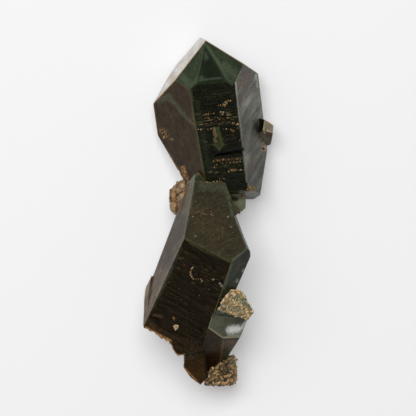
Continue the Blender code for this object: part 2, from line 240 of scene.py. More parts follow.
def crystal(name, faces, inside, axis, marks=(), cell=0.27, carve=None):
    """One crystal: every face drawn as a grid, with its relief, and with the edges between faces worn.

    The marks are drawn as seen from above, so the faces at the back get none.
    """
    rows = outward([face for face, _, _ in faces], inside)
    materials = list(dict.fromkeys(finish for _, finish, _ in faces))
    points, quads, numbers, edge_wear_and_highlight, shown = [], [], [], [], []
    start = 0
    for i, (_, finish, relief) in enumerate(faces):
        ring = facet_outline(rows, i)
        if not ring:
            continue
        p, q = facet_grid(ring, cell, SPACING[relief])
        n = rows[i, :3]
        depth = rows[:, 3] - p @ rows[:, :3].T
        nearest = np.delete(depth, i, axis=1).min(axis=1)
        worn = np.clip(ARRIS - depth, 0, None) ** 2 / (4 * ARRIS)
        p = p - worn @ rows[:, :3]
        p = p + n * (eased(nearest / 0.45) * relief(p, axis, np.cross(n, axis)))[:, None]
        points.append(p)
        quads.append(q + start)
        numbers.append(np.full(len(q), materials.index(finish)))
        # The rim tone is pale along every edge: it is partly wear and partly a painted highlight.
        edge_wear_and_highlight.append(eased(1 - nearest / 0.32))
        shown.append(np.full(len(p), float(finish is not BACK)))
        start += len(p)
    points = np.concatenate(points)
    if carve is not None:
        points = carve(points)
    shown = np.concatenate(shown)
    tones = {tone: shown * value for tone, value in painted(points, marks).items()}
    tones["rim"] = np.concatenate(edge_wear_and_highlight)
    piece = mesh_piece(name, points, np.concatenate(quads), np.concatenate(numbers), materials, tones)
    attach(piece, "root")
    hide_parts("quartz_crystals")
    return piece


def srgb(code):
    """Linear colour of an sRGB hex value."""
    channels = np.array([int(code[i:i + 2], 16) for i in (1, 3, 5)]) / 255
    linear = np.where(channels <= 0.04045, channels / 12.92, ((channels + 0.055) / 1.055) ** 2.4)
    return (*linear, 1.0)


def add(tree, kind, settings=None, **links):
    """Adds a node, sets its sockets and its properties, and links sockets from outputs."""
    node = tree.nodes.new(kind)
    for key, value in (settings or {}).items():
        if isinstance(key, int) or key in node.inputs:
            node.inputs[key].default_value = value
        else:
            setattr(node, key, value)
    for key, output in links.items():
        name = key.replace("_", " ")
        tree.links.new(output, node.inputs[int(key[1:])] if key[1:].isdigit() else node.inputs[name])
    return node


# Chlorite-included quartz, natural growth faces: satin gloss over a dark body that is cloudy with flakes.
# Clouds are 3 mm wide and flakes 0.6 mm; growth streaks are 0.4 to 0.6 mm wide and six times as long. Real
# flakes and streaks are finer still, and are drawn this coarse so that they show.
CLOUD = 3.0
FLAKE = 0.6
VEIL_GREEN = "#5f6a54"
MILKY_WHITE = "#d5d6d2"
GLINT = "#947e58"
RUST_DARK = "#54300f"
RUST_LIGHT = "#c08f5c"


def quartz_finish(name, dark, mid, light, rim, lean=0.0, streaky=0.3, flaky=0.35, rough=0.3, bumps=0.06,
                  mirror=0.32, pitch=0.6):
    """Body from dark to mid in clouds, light flakes and streaks, then the painted tones, painted glints among them,
    and the pale rim: edge wear with a painted highlight.

    lean is the streaks' direction in degrees from +X, bumps is the height of the streaks in mm, and mirror
    is how much the face mirrors: a matt, etched face mirrors less. pitch is a streak's width in mm.
    """
    material = bpy.data.materials.new(name)
    material.use_nodes = True
    tree = material.node_tree
    shader = tree.nodes["Principled BSDF"]
    place = add(tree, "ShaderNodeTexCoord").outputs["Object"]
    turned = add(tree, "ShaderNodeMapping", {"Rotation": (0, 0, -math.radians(lean))}, Vector=place)
    drawn = add(tree, "ShaderNodeMapping", {"Scale": (0.16, 1.0, 0.16)}, Vector=turned.outputs[0])
    clouds = add(tree, "ShaderNodeTexNoise", {"Scale": 1 / (CLOUD * MM), "Detail": 7.0, "Roughness": 0.65},
                 Vector=place)
    flakes = add(tree, "ShaderNodeTexNoise", {"Scale": 1 / (FLAKE * MM), "Detail": 4.0, "Roughness": 0.65},
                 Vector=place)
    streaks = add(tree, "ShaderNodeTexNoise", {"Scale": 1 / (pitch * MM), "Detail": 3.0, "Roughness": 0.6},
                  Vector=drawn.outputs[0])
    cloud = add(tree, "ShaderNodeMapRange", {"From Min": 0.34, "From Max": 0.66}, Value=clouds.outputs[0])
    flake = add(tree, "ShaderNodeMapRange", {"From Min": 0.5, "From Max": 0.75, "To Max": flaky},
                Value=flakes.outputs[0])
    streak = add(tree, "ShaderNodeMapRange", {"From Min": 0.48, "From Max": 0.7, "To Max": streaky},
                 Value=streaks.outputs[0])
    grit = add(tree, "ShaderNodeMapRange", {"From Min": 0.35, "From Max": 0.65, "To Min": 0.5, "To Max": 1.2},
               Value=flakes.outputs[0])
    # Painted glints: the tan GLINT colour goes on the brightest streaks wherever the glint tone is painted.
    glint = add(tree, "ShaderNodeMapRange", {"From Min": 0.57, "From Max": 0.66}, Value=streaks.outputs[0])
    rust = add(tree, "ShaderNodeMix", {"data_type": "RGBA", 6: srgb(RUST_DARK), 7: srgb(RUST_LIGHT)},
               Factor=grit.outputs[0])
    amounts = {"light": flake, "streak": streak}
    for tone, pattern in (("painted_glint", glint), ("veil", grit), ("milk", grit), ("iron", grit), ("rim", grit)):
        painted_tone = add(tree, "ShaderNodeAttribute", {"attribute_name": tone})
        amounts[tone] = add(tree, "ShaderNodeMath", {"operation": "MULTIPLY", "use_clamp": True},
                            i0=painted_tone.outputs["Fac"], i1=pattern.outputs[0])
    body = add(tree, "ShaderNodeMix", {"data_type": "RGBA", 6: srgb(dark), 7: srgb(mid)}, Factor=cloud.outputs[0])
    # The rim colour is edge wear with a painted highlight on it.
    for tone, colour in (("light", light), ("streak", light), ("painted_glint", GLINT), ("veil", VEIL_GREEN),
                         ("milk", MILKY_WHITE), ("rim", rim)):
        body = add(tree, "ShaderNodeMix", {"data_type": "RGBA", 7: srgb(colour)}, Factor=amounts[tone].outputs[0],
                   i6=body.outputs[2])
    body = add(tree, "ShaderNodeMix", {"data_type": "RGBA"}, Factor=amounts["iron"].outputs[0],
               i6=body.outputs[2], i7=rust.outputs[2])
    shade = add(tree, "ShaderNodeAttribute", {"attribute_name": "shade"})
    body = add(tree, "ShaderNodeMix", {"data_type": "RGBA", 7: srgb("#040402")}, Factor=shade.outputs["Fac"],
               i6=body.outputs[2])
    tree.links.new(body.outputs[2], shader.inputs["Base Color"])
    gloss = add(tree, "ShaderNodeMapRange", {"From Min": 0.3, "From Max": 0.7, "To Min": 0.75 * rough,
                                             "To Max": 1.35 * rough}, Value=flakes.outputs[0])
    tree.links.new(gloss.outputs[0], shader.inputs["Roughness"])
    bump = add(tree, "ShaderNodeBump", {"Strength": 1.0, "Distance": bumps * MM}, Height=streaks.outputs[0])
    tree.links.new(bump.outputs[0], shader.inputs["Normal"])
    shader.inputs["IOR"].default_value = 1.55
    shader.inputs["Specular IOR Level"].default_value = mirror
    return material


BACK = quartz_finish("chlorite_quartz_back", "#0a0c06", "#1b1c12", "#2f2f24", "#2a2b20", 10, mirror=0.2)
BROKEN = quartz_finish("broken_quartz", "#2a1c0c", "#4a3216", "#7d5a30", "#8f6a3c", 0, rough=0.4)
UPPER_STEPPED = quartz_finish("black_green_stepped_quartz", "#050602", "#101305", "#24270f", "#232a12", 8,
                              streaky=0.3, rough=0.26, bumps=0.25, mirror=0.25, pitch=0.4)
UPPER_BROWN = quartz_finish("iron_tinted_quartz", "#1f150a", "#352818", "#524530", "#4d462d", 115, flaky=0.5,
                           rough=0.32, mirror=0.12)
UPPER_GREY = quartz_finish("grey_streaked_quartz", "#322e26", "#504d42", "#84867a", "#86846f", 60, streaky=1.0,
                           rough=0.3, mirror=0.24, pitch=1.5)
GREEN_DEEP = quartz_finish("deep_green_quartz", "#050a02", "#101c09", "#243519", "#182410", 110, rough=0.28,
                           mirror=0.12)
GREEN = quartz_finish("green_quartz", "#17200e", "#27331c", "#3b4a2e", "#343f28", 110, rough=0.28, mirror=0.16)
# The steep white face is painted: its near-white colour is a painted reflection of the bright light that the face
# mirrors.
WHITE_REFLECTION = quartz_finish("white_reflection_quartz", "#aea7a1", "#d4d0cb", "#ebe8e4", "#b4a896", 60, streaky=0.8,
                       rough=0.5)

UPPER_INSIDE = corner(-0.9, 24.8, 9)
UPPER_AXIS = np.array([-0.139, 0.985, 0.093])
UPPER_FRONT = through(corner(-4.5, 33.4, 18.0), corner(-1.1, 10.3, 15.82), corner(7.2, 33.4, 18.0))
UPPER_LEFT = through(on(UPPER_FRONT, -4.9, 32.3), on(UPPER_FRONT, -1.1, 10.3), corner(-15.0, 29.3, 5.5))
UPPER_RIGHT = through(on(UPPER_FRONT, 7.2, 34.5), on(UPPER_FRONT, 10.7, 7.3), corner(13.6, 37.4, 7.5))
crown = corner(-0.9, 45.0, 12.4)
middle_pyramid = through(on(UPPER_FRONT, -4.4, 34.4), on(UPPER_FRONT, 5.3, 35.2), crown)
right_pyramid = through(on(middle_pyramid, 5.3, 35.2), crown, on(UPPER_RIGHT, 9.6, 39.8))
left_pyramid = through(crown, on(UPPER_FRONT, -4.6, 33.4), on(UPPER_LEFT, -9.0, 35.6))
peak = on(left_pyramid, -0.6, 46.4)
bend = on(UPPER_LEFT, -9.0, 35.6)
left_corner = on(UPPER_LEFT, -15.0, 29.3)
low_left = on(UPPER_LEFT, -13.8, 20.8)
bulge = on(UPPER_RIGHT, 16.1, 16.7)
foot_of_bend = corner(-8.7, 40.3, 1.2)


def upper_ledges(p):
    """Cuts the dark ledge across the lower half of the front face, and chips off the left flank.

    The ledge slopes down from its upper edge to its foot, where it ends in a small wall.
    """
    n, d = turned_up(UPPER_FRONT)[:3], turned_up(UPPER_FRONT)[3]
    top = 15.5 + 0.3 * (p[:, 0] - 1.3) + 0.12 * smooth_noise(p, 1.1, 81)
    foot = 14.8 + 0.16 * (p[:, 0] - 1.3) + 0.12 * smooth_noise(p, 0.9, 82)
    down = (top - p[:, 1]) / np.clip(top - foot, 0.2, None)
    depth = 0.75 * eased(down) * (down > 0) * (p[:, 1] > foot) * eased((p[:, 0] - 1.0) / 1.5)
    sink = np.clip(depth - (d - p @ n), 0, 0.8)
    edge = -1.9 - 0.577 * p[:, 1] + 1.2 * smooth_noise(p, (1.2, 1.2, 6), 84)
    chip = np.clip(edge - p[:, 0], 0, 1.2) * eased((5.2 - np.abs(p[:, 1] - 14.2)) / 1.2)
    return p - np.outer(sink, n) + np.outer(chip, (1.0, 0, 0))


UPPER_MARKS = (
    ("veil", -0.7, 45.1, 2.4, 40.7, 0.45, 0.5), ("veil", 2.4, 40.7, 4.9, 35.5, 0.5, 0.6),
    ("veil", 4.9, 35.5, 6.5, 34.5, 0.5, 0.35), ("veil", 4.2, 39.2, 7.2, 36.8, 1.3, 0.3),
    ("veil", -1.7, 43.8, -3.8, 38.4, 0.4, 0.12), ("veil", -4.2, 34.9, -0.6, 35.7, 0.35, 0.35),
    ("veil", -0.6, 35.7, 3.6, 36.1, 0.35, 0.3), ("veil", -3.2, 35.9, -1.8, 36.2, 0.6, 0.3),
    ("veil", -0.9, 42.6, -0.6, 41.6, 0.8, 0.3), ("veil", -6.8, 36.3, -5.2, 34.3, 1.1, 0.3),
    ("shade", -0.7, 39.6, 0.4, 37.6, 1.3, 0.35), ("shade", 7.3, 40.1, 9.0, 39.0, 0.7, 0.45),
    ("iron", -0.6, 46.3, 13.5, 37.6, 0.2, 0.8), ("shade", -2.3, 47.5, -1.9, 47.1, 0.2, 0.7), ("shade", -8.6, 33.6, -5.9, 29.4, 1.5, 0.4), ("iron", -8.6, 33.6, -5.9, 29.4, 1.5, 0.04),
    ("veil", -13.4, 30.4, -10.6, 31.0, 0.9, 0.3), ("veil", -10.6, 31.0, -5.2, 24.6, 0.6, 0.3),
    ("veil", -4.7, 32.9, -3.9, 25.6, 0.3, 0.3), ("veil", -3.9, 25.6, -1.2, 10.6, 0.3, 0.25),
    ("iron", -12.4, 21.9, -11.4, 20.7, 0.9, 0.2), ("iron", -10.1, 19.6, -9.7, 19.5, 0.35, 0.5),
    ("iron", -11.4, 16.6, -7.2, 9.8, 0.4, 0.35), ("iron", -6.9, 11.9, -5.9, 9.0, 0.6, 0.5),
    ("veil", -3.0, 29.4, 0.3, 10.9, 0.75, 0.06), ("painted_glint", -2.6, 24.6, 8.0, 25.8, 2.0, 0.5),
    ("painted_glint", 1.2, 11.0, 9.8, 12.6, 1.2, 0.5), ("painted_glint", -3.5, 30.6, 6.8, 31.0, 1.5, 0.1),
    ("painted_glint", 0.0, 19.0, 9.0, 20.4, 1.5, 0.25), ("shade", -0.6, 28.6, 2.8, 28.2, 1.8, 0.5),
    ("shade", 2.0, 15.6, 9.3, 17.0, 0.5, 1.0), ("shade", 1.5, 23.4, 8.2, 18.6, 1.6, 0.35),
    ("iron", 1.4, 13.7, 9.0, 14.5, 0.3, 0.12), ("milk", 7.5, 34.9, 7.6, 31.6, 0.22, 0.5),
    ("milk", 7.6, 31.6, 10.4, 8.0, 0.2, 0.35), ("iron", 8.3, 34.0, 10.6, 36.6, 0.9, 0.12),
    ("iron", 9.6, 29.0, 10.6, 31.6, 0.7, 0.1), ("iron", 12.5, 15.1, 11.4, 11.0, 0.9, 0.1),
    ("veil", 10.0, 24.2, 13.3, 34.2, 0.5, 0.5), ("veil", 11.9, 22.9, 13.6, 32.5, 0.35, 0.4),
    ("veil", 10.0, 16.3, 11.9, 25.3, 0.6, 0.6), ("shade", 13.2, 23.2, 13.5, 21.6, 0.6, 0.5), ("milk", 9.0, 5.0, 13.4, 4.6, 0.7, 0.3),
    ("iron", 15.0, 17.4, 15.3, 16.9, 0.5, 0.7), ("iron", 11.2, 6.6, 12.0, 5.8, 0.8, 0.45),
    ("milk", 12.9, 36.9, 13.3, 34.0, 0.4, 0.35), ("shade", 13.0, 13.5, 12.0, 6.5, 2.4, 0.35),
    ("iron", -0.8, 46.2, -9.0, 35.5, 0.13, 0.8), ("iron", -9.0, 35.5, -14.9, 29.3, 0.13, 0.8),
    ("iron", -14.9, 29.2, -13.7, 20.8, 0.16, 0.6), ("iron", 13.6, 37.2, 15.9, 19.0, 0.16, 0.5),
)

crystal("upper_crystal", [
    (UPPER_FRONT, UPPER_STEPPED, stepped), (UPPER_LEFT, UPPER_BROWN, smooth), (UPPER_RIGHT, UPPER_GREY, smooth),
    (middle_pyramid, GREEN_DEEP, smooth), (right_pyramid, GREEN, smooth), (left_pyramid, GREEN, smooth),
    (wall_under(peak, bend, -11, UPPER_INSIDE), WHITE_REFLECTION, smooth),
    (wall_under(bend, left_corner, -11, UPPER_INSIDE), WHITE_REFLECTION, smooth),
    (facing(peak, 32.1, 90.5), BACK, unseen),
    (wall_under(corner(-2.2, 47.6, 2.0), foot_of_bend, 35, UPPER_INSIDE), BACK, unseen),
    (wall_under(foot_of_bend, left_corner, 30, UPPER_INSIDE), BACK, unseen),
    (wall_under(left_corner, low_left, 30, UPPER_INSIDE), BACK, unseen),
    (wall_under(low_left, on(UPPER_LEFT, -6.7, 8.5), 8, UPPER_INSIDE), BACK, unseen),
    (wall_under(on(UPPER_RIGHT, 13.6, 37.4), bulge, 28, UPPER_INSIDE), BACK, unseen),
    (wall_under(bulge, on(UPPER_RIGHT, 14.3, 5.3), 15, UPPER_INSIDE), BACK, unseen),
    (facing(on(UPPER_FRONT, 8.6, 5.5), 179, 78), UPPER_BROWN, smooth),
    (facing(corner(11.3, 3.2, 5), 180, 125), BACK, unseen),
    (level(0), BACK, unseen),
], UPPER_INSIDE, UPPER_AXIS, UPPER_MARKS, carve=upper_ledges)


# The lower, larger crystal.
# It grew against the upper one at the neck, points up and to the right, and is broken off at its end.
# Its long front face is stepped, and its broad pyramid face tilts towards the light.
LOWER_INSIDE = corner(-2.2, -15.7, 12)
ridge_left = corner(-5.7, -7.5, 23.4)
ridge_right = corner(6.2, -13.7, 24.5)
LOWER_FRONT = through(ridge_left, ridge_right, corner(-11.7, -33.3, 18.1))
LOWER_PYRAMID = through(ridge_left, ridge_right, corner(1.8, 8.2, 16.2))
LOWER_LEFT = through(on(LOWER_FRONT, -6.5, -7.1), on(LOWER_FRONT, -15.2, -26.0), on(LOWER_PYRAMID, -3.5, 9.4))
LOWER_RIGHT = through(ridge_right, on(LOWER_FRONT, 0.1, -31.6), on(LOWER_PYRAMID, 10.3, -9.8))
LOWER_AXIS = on(LOWER_FRONT, 4.77, 8.79) - on(LOWER_FRONT, 0, 0)
LOWER_AXIS /= np.linalg.norm(LOWER_AXIS)
shoulder = on(LOWER_RIGHT, 11.5, -12.0)
BEVEL = wall_under(on(LOWER_PYRAMID, 7.1, -1.4), on(LOWER_PYRAMID, 10.3, -9.6), -15, LOWER_INSIDE)
BEVEL *= np.sign(BEVEL[0])
END = wall_under(on(LOWER_FRONT, -17.0, -32.0), on(LOWER_FRONT, -10.3, -35.4), 6, LOWER_INSIDE)
END *= -np.sign(END[1])

LOWER_STEPPED = quartz_finish("brown_black_stepped_quartz", "#0b0702", "#191105", "#2f2610", "#3c3111", -27,
                              streaky=0.3, rough=0.26, bumps=0.22, mirror=0.16, pitch=0.4)
BROAD = quartz_finish("olive_brown_quartz", "#201b10", "#322b1a", "#4b4831", "#3e4630", 20, flaky=0.75,
                      rough=0.33, mirror=0.2)
HAZY = quartz_finish("hazy_grey_quartz", "#453a2f", "#5a4c41", "#7b6e5f", "#736b5a", 69, streaky=0.7, rough=0.3, mirror=0.08)
BLUISH = quartz_finish("blue_green_quartz", "#15190f", "#272b1c", "#4e543d", "#656a4c", 60, rough=0.25, mirror=0.16)


def chipped(p, face, depth, reach, seed):
    """Bites out of an edge: points near the broken face move in from it by a noise that fades inwards."""
    near = face[3] - p @ face[:3]
    bite = 0.5 + 0.6 * smooth_noise(p, (1.3, 1.3, 5), seed) + 0.5 * smooth_noise(p, (0.6, 0.6, 3), seed + 1)
    return p - np.outer(depth * bite * eased(1 - near / reach), face[:3])


def lower_edges(p):
    """Lays the narrow facet at the right edge of the broad face, and chips the broken end."""
    beyond = np.clip(p @ BEVEL[:3] - BEVEL[3], 0, 1.6)
    beyond *= (p[:, 1] < 0.5 - 0.14 * p[:, 0]) & (p[:, 1] > -13.6) & (p[:, 2] > 5)
    return chipped(p - np.outer(beyond, BEVEL[:3]), END, 0.8, 1.2, 83)


LOWER_MARKS = (
    ("veil", -1.2, 7.0, 3.6, 7.0, 1.6, 0.2), ("veil", -4.2, 7.6, -4.8, 1.8, 0.4, 0.3),
    ("veil", -4.9, 1.8, -5.8, -3.2, 0.6, 0.2), ("veil", 4.3, 7.6, 5.5, 3.4, 0.5, 0.25),
    ("veil", 5.5, 3.4, 6.6, -1.0, 0.4, 0.3), ("veil", -4.9, -8.3, -1.6, -10.3, 0.35, 0.2),
    ("veil", -1.6, -10.3, 5.4, -13.2, 0.3, 0.15), ("veil", 6.5, -13.0, 9.9, -10.4, 0.3, 0.6),
    ("veil", 7.4, -1.6, 10.6, -9.4, 0.5, 0.5), ("shade", -5.4, -10.2, 4.6, -13.9, 0.4, 0.35),
    ("iron", -3.2, -0.4, 2.6, -6.4, 3.2, 0.02), ("milk", -4.2, -1.3, -4.2, -1.3, 0.16, 0.7),
    ("milk", 5.3, -1.3, 5.3, -1.3, 0.16, 0.7), ("milk", 6.2, -4.1, 6.2, -4.1, 0.16, 0.6),
    ("milk", -3.4, -6.5, -3.4, -6.5, 0.16, 0.6), ("milk", -5.6, -7.6, -5.6, -7.6, 0.16, 0.6),
    ("veil", -4.6, 7.0, -6.4, -1.2, 1.0, 0.3), ("shade", -7.2, -2.4, -12.0, -13.4, 2.2, 0.5), ("iron", -8.6, -3.4, -13.2, -14.0, 1.0, 0.05),
    ("veil", -10.0, -14.6, -13.6, -22.6, 0.8, 0.25), ("veil", -7.0, -9.6, -14.9, -26.4, 0.3, 0.1),
    ("painted_glint", -6.4, -10.8, -8.0, -14.4, 1.2, 0.4), ("painted_glint", -4.0, -15.0, 3.4, -19.6, 3.0, 0.1),
    ("painted_glint", -12.0, -22.0, -1.0, -28.0, 4.0, 0.03), ("iron", -4.1, -14.9, -4.8, -16.2, 0.22, 0.9),
    ("iron", -4.8, -16.2, -4.3, -17.6, 0.2, 0.8), ("iron", 1.2, -18.1, 1.3, -18.2, 0.22, 0.8),
    ("milk", 3.0, -19.2, 4.1, -20.4, 0.14, 0.45), ("milk", -14.6, -27.7, -12.6, -28.2, 0.3, 0.03),
    ("iron", -14.6, -27.7, -12.6, -28.2, 0.4, 0.07),
    ("iron", -15.8, -30.3, -13.4, -31.9, 1.2, 0.06), ("iron", -13.2, -32.6, -4.0, -35.6, 0.9, 0.03),
    ("iron", -16.8, -31.4, -13.6, -33.0, 0.5, 0.8), ("iron", -13.6, -33.0, -10.2, -34.9, 0.5, 0.7),
    ("iron", -9.3, -28.5, -9.1, -28.9, 0.25, 0.9), ("milk", 9.4, -15.7, 9.3, -16.0, 0.3, 0.35),
    ("milk", 7.8, -18.4, 7.7, -18.8, 0.45, 0.3), ("veil", 6.3, -14.2, 4.2, -20.6, 0.35, 0.4),
    ("iron", -0.5, 8.2, 4.4, 8.3, 0.3, 0.75), ("milk", -0.2, 8.3, 4.2, 8.3, 0.16, 0.3),
)

crystal("lower_crystal", [
    (LOWER_FRONT, LOWER_STEPPED, stepped), (LOWER_PYRAMID, BROAD, smooth), (LOWER_LEFT, HAZY, smooth),
    (LOWER_RIGHT, BLUISH, smooth), (facing(on(LOWER_PYRAMID, -0.6, 8.1), 3, 88), BROKEN, broken),
    (facing(on(LOWER_PYRAMID, -4.8, 8.8), -50.5, 90), HAZY, smooth),
    (wall_under(on(LOWER_LEFT, -5.5, 7.8), on(LOWER_LEFT, -15.0, -17.3), 22, LOWER_INSIDE), BACK, unseen),
    (wall_under(on(LOWER_LEFT, -17.3, -22.2), on(LOWER_LEFT, -17.6, -29.8), 8, LOWER_INSIDE), BACK, unseen),
    (END, BROKEN, broken),
    (facing(corner(0.1, -31.6, 10), 131.7, 90), BACK, unseen),
    (wall_under(shoulder, on(LOWER_RIGHT, 8.7, -18.4), 22, LOWER_INSIDE), BACK, unseen),
    (wall_under(on(LOWER_PYRAMID, 4.5, 8.3), shoulder, 15, LOWER_INSIDE), BACK, unseen),
    (facing(corner(-0.9, 9.7, 8.5), 28.5, 140), BACK, unseen),
    (level(0), BACK, unseen),
], LOWER_INSIDE, LOWER_AXIS, LOWER_MARKS, carve=lower_edges)

tip_inside = on(LOWER_PYRAMID, -2.4, 8.6) - (0, 0, 1.5)
tip_crest = on(UPPER_LEFT, -2.6, 10.6) + (0, 0, 0.6)
crystal("lower_tip", [
    (through(on(UPPER_FRONT, -0.6, 8.1), tip_crest, on(LOWER_PYRAMID, -3.7, 8.2)), GREEN, smooth),
    (raised(LOWER_PYRAMID, 0.02), GREEN, smooth), (raised(LOWER_LEFT, 0.02), HAZY, smooth),
    (facing(on(LOWER_PYRAMID, -4.8, 8.8), -50.5, 90), HAZY, smooth),
    (facing(on(LOWER_PYRAMID, -2.6, 10.6), 51, 90), BROKEN, broken),
    (facing(corner(-2.4, 6.4, 8), 180, 90), BACK, unseen), (level(7), BACK, unseen),
], tip_inside, LOWER_AXIS, (
    ("iron", -2.6, 10.5, -0.6, 8.2, 0.16, 0.9), ("veil", -4.0, 9.2, -2.9, 10.2, 0.3, 0.7),
    ("veil", -3.9, 8.8, -4.2, 7.0, 0.4, 0.6),
), cell=0.15)

lug_top = raised(LOWER_FRONT, -0.08)
lug_inside = corner(-5.5, -34.6, 12)
rim = [on(lug_top, x, y) for x, y in ((-10.9, -34.6), (-9.4, -37.8), (-8.2, -38.9), (-6.3, -38.6),
                                      (-1.4, -37.2), (-0.1, -31.4))]
lug_walls = outward([wall_under(a, b, 6, lug_inside) for a, b in zip(rim, rim[1:])], lug_inside)
crystal("broken_end", [
    (lug_top, LOWER_STEPPED, stepped), *[(wall, BROKEN, broken) for wall in lug_walls],
    (facing(corner(-5.5, -29.2, 10), 0, 90), BACK, unseen), (level(5), BACK, unseen),
], lug_inside, LOWER_AXIS, (
    ("iron", -10.6, -35.1, -9.4, -37.6, 0.4, 0.7), ("iron", -9.4, -37.6, -8.2, -38.8, 0.4, 0.7),
    ("iron", -8.2, -38.7, -6.5, -38.5, 0.3, 0.6), ("iron", -8.0, -36.6, -3.0, -36.8, 1.0, 0.03),
), cell=0.2, carve=lambda p: chipped(chipped(p, lug_walls[0], 0.35, 0.9, 85), lug_walls[2], 0.3, 0.8, 87))

plate_inside = on(LOWER_LEFT, -16.0, -20.8) - (0, 0, 0.4)
crystal("flank_plate", [
    (raised(LOWER_LEFT, 0.45), HAZY, smooth), (raised(LOWER_LEFT, -1.5), BACK, unseen),
    (facing(on(LOWER_LEFT, -15.0, -17.3), 25, 92), BROKEN, broken),
    (wall_under(on(LOWER_LEFT, -15.3, -17.3), on(LOWER_LEFT, -16.9, -20.5), 6, plate_inside), BACK, unseen),
    (wall_under(on(LOWER_LEFT, -16.9, -20.5), on(LOWER_LEFT, -17.3, -23.0), 6, plate_inside), BACK, unseen),
    (facing(on(LOWER_LEFT, -15.2, -18.7), 75, 50), HAZY, smooth),
    (wall_under(on(LOWER_LEFT, -17.3, -23.0), on(LOWER_LEFT, -17.5, -29.8), 6, plate_inside), BACK, unseen),
    (through(on(LOWER_LEFT, -17.6, -27.0), on(LOWER_LEFT, -16.0, -26.2),
             on(raised(LOWER_LEFT, 0.45), -16.4, -21.5)), HAZY, smooth),
    (facing(on(LOWER_LEFT, -17.1, -27.6), 195, 88), BACK, unseen), (level(3), BACK, unseen),
], plate_inside, LOWER_AXIS, (
    ("iron", -15.3, -17.2, -17.3, -23.0, 0.3, 0.35), ("shade", -15.2, -17.6, -16.4, -23.6, 0.14, 0.8),
), cell=0.2)


# The small crystals.
# Three stand beside the large ones and one lies on the upper front face; all of them are the same quartz.
RIGHT_TOP = through(corner(1.3, -28.4, 21.0), corner(0.5, -31.6, 20.4), corner(8.6, -33.8, 14.2))
RIGHT_AXIS = np.array([0.35, 0.8, 0.48])
right_inside = corner(3.7, -31.9, 10)
low_edge = corner(3.2, -40.0, 11.2)
left_prism = through(on(RIGHT_TOP, 0.5, -31.6), on(RIGHT_TOP, 3.9, -34.1), low_edge)
right_prism = through(on(RIGHT_TOP, 3.9, -34.1), low_edge, on(RIGHT_TOP, 8.7, -34.0))

SMOOTH_GREY = quartz_finish("smooth_grey_green_quartz", "#3d412e", "#555842", "#787a5e", "#9c997c", 20,
                            streaky=0.15, flaky=0.2, rough=0.2, mirror=0.24)
SMOKY = quartz_finish("smoky_quartz", "#1e1204", "#33230f", "#4d3d22", "#413420", 70, flaky=0.2, rough=0.25, mirror=0.12)
BROWN = quartz_finish("brown_grey_quartz", "#36281a", "#483826", "#64523a", "#66553a", 70, flaky=0.3, rough=0.3, mirror=0.2)
OLIVE = quartz_finish("olive_quartz", "#1e1203", "#301e05", "#5c4319", "#4a3512", -20, rough=0.28, mirror=0.1)
TAN = quartz_finish("tan_quartz", "#5d5545", "#837a67", "#a8a18b", "#c6ac85", 40, flaky=0.6, rough=0.4)
GREEN_OLIVE = quartz_finish("olive_green_quartz", "#181d0b", "#2b3118", "#4a4f30", "#474c2e", 100, rough=0.3)

crystal("right_crystal", [
    (RIGHT_TOP, SMOOTH_GREY, smooth), (left_prism, SMOKY, smooth), (right_prism, BROWN, smooth),
    (wall_under(on(RIGHT_TOP, 11.4, -27.3), on(RIGHT_TOP, 8.7, -34.0), 12, right_inside), BACK, unseen),
    (wall_under(on(RIGHT_TOP, 11.2, -26.8), on(RIGHT_TOP, 8.2, -21.4), 12, right_inside), BACK, unseen),
    (wall_under(on(right_prism, 8.7, -34.0), on(right_prism, 6.2, -37.9), 8, right_inside), BACK, unseen),
    (facing(on(RIGHT_TOP, 4.5, -24.6), 15, 75), BACK, unseen),
    (wall_under(on(right_prism, 6.6, -39.3), on(left_prism, 0.2, -43.8), 0, right_inside), BACK, unseen),
    (facing(on(LOWER_FRONT, 1.4, -26.8), -71.6, 90), BACK, unseen),
    (facing(corner(-2.0, -34.6, 10), -95, 90), BACK, unseen), (level(1), BACK, unseen),
], right_inside, RIGHT_AXIS, (
    ("milk", 5.9, -31.9, 8.2, -31.5, 1.1, 0.8), ("milk", 6.3, -31.8, 8.2, -31.6, 0.6, 1.7),
    ("milk", 8.9, -31.6, 10.2, -29.6, 0.55, 0.75),
    ("milk", 5.4, -33.3, 9.0, -33.5, 0.35, 0.25), ("shade", 2.3, -27.6, 9.6, -28.6, 0.25, 0.9),
    ("shade", 4.6, -29.2, 9.2, -29.5, 0.8, 0.4), ("veil", 1.4, -30.4, 3.0, -29.8, 1.0, 0.3), ("shade", 3.9, -34.5, 8.6, -34.3, 0.3, 0.7),
    ("veil", 4.5, -38.6, 6.4, -37.6, 1.2, 0.3), ("shade", 6.9, -38.6, 3.6, -40.5, 0.5, 0.5),
    ("iron", 5.8, -34.9, 7.6, -35.2, 0.7, 0.12),
), cell=0.22)

foot_inside = corner(-2.8, -42.2, 8)
foot_top = through(corner(-6.0, -39.2, 15.0), corner(-0.3, -37.3, 16.2), corner(-2.2, -46.5, 12.0))
rim = [on(foot_top, x, y) for x, y in ((-6.4, -37.9), (-6.7, -42.1), (-4.8, -44.8), (-2.1, -46.8),
                                       (-0.1, -44.6), (-0.8, -37.5))]
foot_walls = [wall_under(a, b, lean, foot_inside) for a, b, lean in zip(rim, rim[1:], (5, 12, 12, 5, 5))]
crystal("foot_crystal", [
    (foot_top, OLIVE, smooth), *[(wall, OLIVE, broken) for wall in foot_walls],
    (facing(corner(-2.8, -36.0, 8), 0, 90), BACK, unseen), (level(1), BACK, unseen),
], foot_inside, LOWER_AXIS, (
    ("iron", -6.3, -38.6, -6.6, -42.0, 0.25, 0.25), ("iron", -6.5, -42.2, -2.2, -46.7, 0.3, 0.55), ("shade", -0.3, -44.6, -1.0, -37.6, 0.4, 0.8),
    ("veil", -4.8, -38.1, -1.9, -37.0, 0.2, 0.4), ("veil", -5.8, -38.8, -3.4, -38.6, 0.9, 0.12), ("iron", -5.2, -38.6, -4.6, -39.4, 0.8, 0.06),
), cell=0.2)

